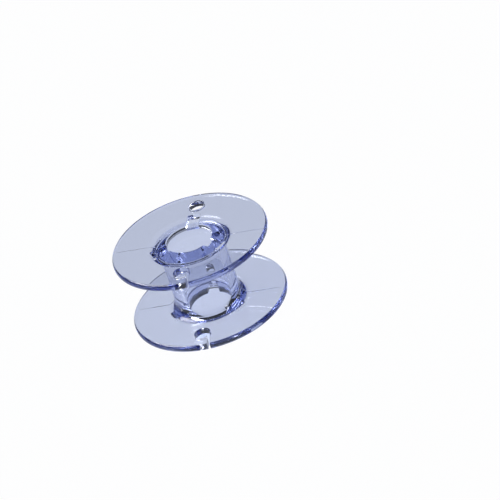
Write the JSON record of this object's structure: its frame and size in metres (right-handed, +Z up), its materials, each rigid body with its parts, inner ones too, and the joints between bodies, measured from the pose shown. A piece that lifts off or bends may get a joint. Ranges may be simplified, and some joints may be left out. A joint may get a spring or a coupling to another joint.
{
  "type": "sewing machine bobbin",
  "caption": "Clear blue-tinted plastic bobbin: two round flanges on a bored hub, with thread holes, a thread slit to the rim and drive notches round the bore.",
  "frame": {"origin": "centre of the lower end face, on the axis of the bore", "axes": "+Z up along the bore; the thread holes lie on Y, and the one with the slit is at -Y"},
  "size_m": [0.0204, 0.0204, 0.0105],
  "materials": {
    "tinted_plastic": "clear moulded plastic with a blue tint, polished"
  },
  "bodies": {
    "root": {"bobbin": "tinted_plastic"}
  },
  "joints": []
}
